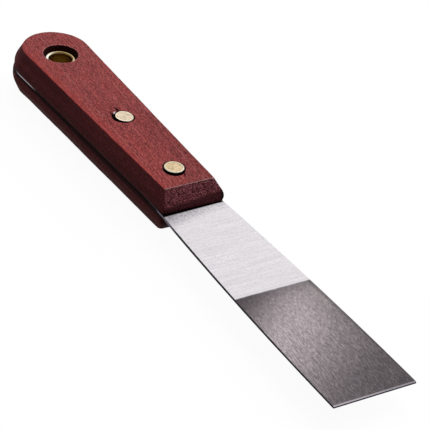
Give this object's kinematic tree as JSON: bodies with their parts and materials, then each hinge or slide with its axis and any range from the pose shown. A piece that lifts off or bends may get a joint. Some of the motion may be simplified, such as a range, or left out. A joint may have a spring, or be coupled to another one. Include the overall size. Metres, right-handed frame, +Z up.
{
  "type": "putty knife",
  "caption": "Putty knife with a flared flat steel blade, a full tang between bevelled hardwood scales, flush brass rivets and a brass-lined hanging hole.",
  "frame": {"origin": "on the hanging hole's axis, at mid thickness of the tang", "axes": "+X towards the blade's tip, +Y across the blade, +Z up out of the upper scale's face"},
  "size_m": [0.2271, 0.0318, 0.0173],
  "materials": {
    "blade_steel": "ground steel, cross-brushed by the handle and lengthwise by the edge",
    "hardwood": "sanded and lightly oiled red-brown hardwood with open pores",
    "brass": "pale brass, ground flat on the rivet heads"
  },
  "bodies": {
    "root": {"blade": "blade_steel", "upper_scale": "hardwood", "lower_scale": "hardwood", "hanging_eyelet": "brass", "rear_rivet_male": "brass", "rear_rivet_female": "brass", "front_rivet_male": "brass", "front_rivet_female": "brass"}
  },
  "joints": []
}
